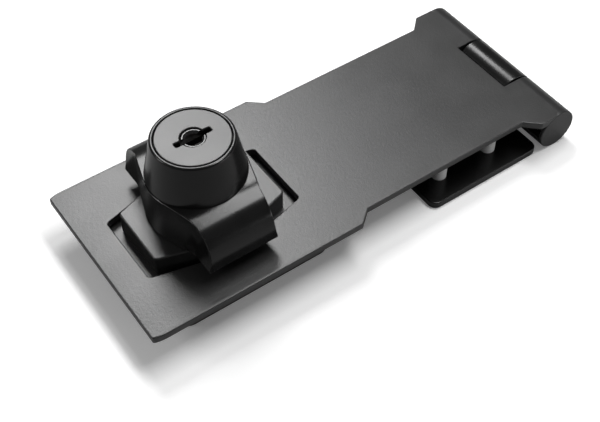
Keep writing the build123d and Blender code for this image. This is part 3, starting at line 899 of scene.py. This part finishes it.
# The studs' near-white, mostly diffuse colour is partly the steel's own light grey, partly a
# painted sheen in place of the bright reflections they show.
stud_steel_painted_sheen = finish("stud_steel", lines, grey(0.84), grey(0.95), 0.003,
                      {"Along X": 0.1, "Along Y": 0.1, "Along Z": 1.6, "Low": 0.35, "High": 0.5},
                      metallic=0.15)
stamped_brass = finish("wafer_brass", lines, (0.62, 0.45, 0.19), (0.74, 0.56, 0.27), 0.004,
                       {"Along X": 0.15}, metallic=1.0)
spring_steel = finish("spring_steel", lines, grey(0.4), grey(0.55), 0.002,
                      {"Along Z": 0.1, "Low": 0.2, "High": 0.3}, metallic=1.0)
zinc = finish("bolt_steel", grain, grey(0.45), grey(0.58), 0.004,
              {"Grains": 1500, "Low": 0.28, "High": 0.42}, metallic=1.0)
print("finishes", len(bpy.data.materials))

# %% Dress every piece
def dress(piece, material):
    """Give the whole piece this finish, and nothing else."""
    piece.data.materials.clear()
    piece.data.materials.append(material)


for piece, material in (
    (strap, powder), (leaf, leaf_shaded_coat), (base, powder), (knob, casting),
    (pin, pin_black), (cap, pin_black), (face, face_grey), (ring, ring_metal),
    *((each, stud_steel_painted_sheen) for each in studs),
):
    dress(piece, material)
inner_finish = {"cylinder_plug": plug_painted_shade, "locking_bolt": zinc}
for name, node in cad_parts.items():
    springy = "spring" in name or name in ("stop_washer", "retaining_ring")
    usual = spring_steel if springy else stamped_brass
    for holder in node.material_slots:
        holder.material = inner_finish.get(name, usual)
print("dressed", [node.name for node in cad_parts.values() if not node.hide_render])

# %% [markdown]
# ## Table and light
# The picture was taken on white paper under soft lights. A black coat shows only
# what it mirrors, so the place of each light matters more than its strength: one
# hangs behind the lock and makes the strap's top light grey near the lock and dark
# at the hinge, one hangs above and draws the bright band over the saddle and round
# the rim, a weak low one in front reaches the studs under the strap, and a narrow
# one on the left keeps the saddle's side from going black. The paper is whiter to
# the camera than to the light that it passes on, because more light would wash out
# the shadows, and glossy surfaces see a part of that white.

# %% Table
table_size, table_place = 4.0, (0.03, 0, 0)
paper, paper_seen, seen_in_gloss, glow = 0.22, 1.05, 0.3, 0.11
close_edit()
bpy.ops.mesh.primitive_plane_add(size=table_size, location=table_place)
floor = bpy.context.active_object
floor.name = "studio_floor"
floor_paint = bpy.data.materials.new("white_paper")
floor_paint.use_nodes = True
tree, links = floor_paint.node_tree, floor_paint.node_tree.links
shader = tree.nodes["Principled BSDF"]
shader.inputs["Roughness"].default_value = 1.0
shader.inputs["Specular IOR Level"].default_value = 0.0
path = add_node(tree, "ShaderNodeLightPath")
seen = add_node(tree, "ShaderNodeMath", operation="MULTIPLY_ADD")
seen.inputs[1].default_value = seen_in_gloss
straight = add_node(tree, "ShaderNodeMath", operation="MAXIMUM")
mix = add_node(tree, "ShaderNodeMix", data_type="RGBA")
mix.inputs["A"].default_value = (*grey(paper), 1)
mix.inputs["B"].default_value = (*grey(paper_seen), 1)
links.new(path.outputs["Is Camera Ray"], straight.inputs[0])
links.new(path.outputs["Is Transmission Ray"], straight.inputs[1])
links.new(path.outputs["Is Glossy Ray"], seen.inputs[0])
links.new(straight.outputs["Value"], seen.inputs[2])
links.new(seen.outputs["Value"], mix.inputs["Factor"])
links.new(mix.outputs["Result"], shader.inputs["Base Color"])
shine = add_node(tree, "ShaderNodeMath", operation="MULTIPLY")
shine.inputs[1].default_value = glow
shader.inputs["Emission Color"].default_value = (1, 1, 1, 1)
links.new(path.outputs["Is Camera Ray"], shine.inputs[0])
links.new(shine.outputs["Value"], shader.inputs["Emission Strength"])
floor.data.materials.append(floor_paint)

# %% Lights
def soft_light(name, place, width, depth, radiance, aim=None):
    """A rectangular soft light at a place in metres, shining down or at a point."""
    bpy.ops.object.light_add(type="AREA", location=place)
    lamp = bpy.context.active_object
    lamp.name = name
    lamp.data.shape = "RECTANGLE"
    lamp.data.size, lamp.data.size_y = width, depth
    lamp.data.energy = radiance * math.pi * width * depth
    if aim:
        lamp.rotation_euler = (Vector(place) - Vector(aim)).to_track_quat("Z", "Y").to_euler()


soft_light("softbox_back", (0.21, 0.5, 0.62), 0.23, 0.34, 15.5)
soft_light("softbox_top", (0.25, 0.0, 0.62), 0.13, 0.43, 15)
soft_light("fill_front", (0.55, -0.62, 0.07), 0.5, 0.1, 8, aim=(0.03, 0, 0.02))
soft_light("rim_left", (-0.5, 0.3, 0.4), 0.12, 0.3, 9, aim=(0, 0, 0.02))
room_light, background = 0.13, 1.0
world = bpy.context.scene.world or bpy.data.worlds.new("studio")
bpy.context.scene.world = world
world.use_nodes = True
backdrop = world.node_tree.nodes["Background"]
backdrop.inputs["Color"].default_value = (1, 1, 1, 1)
straight_on = add_node(world.node_tree, "ShaderNodeLightPath")
strength = add_node(
    world.node_tree, "ShaderNodeMapRange", in_To_Min=room_light, in_To_Max=background,
)
world.node_tree.links.new(straight_on.outputs["Is Camera Ray"], strength.inputs["Value"])
world.node_tree.links.new(strength.outputs["Result"], backdrop.inputs["Strength"])
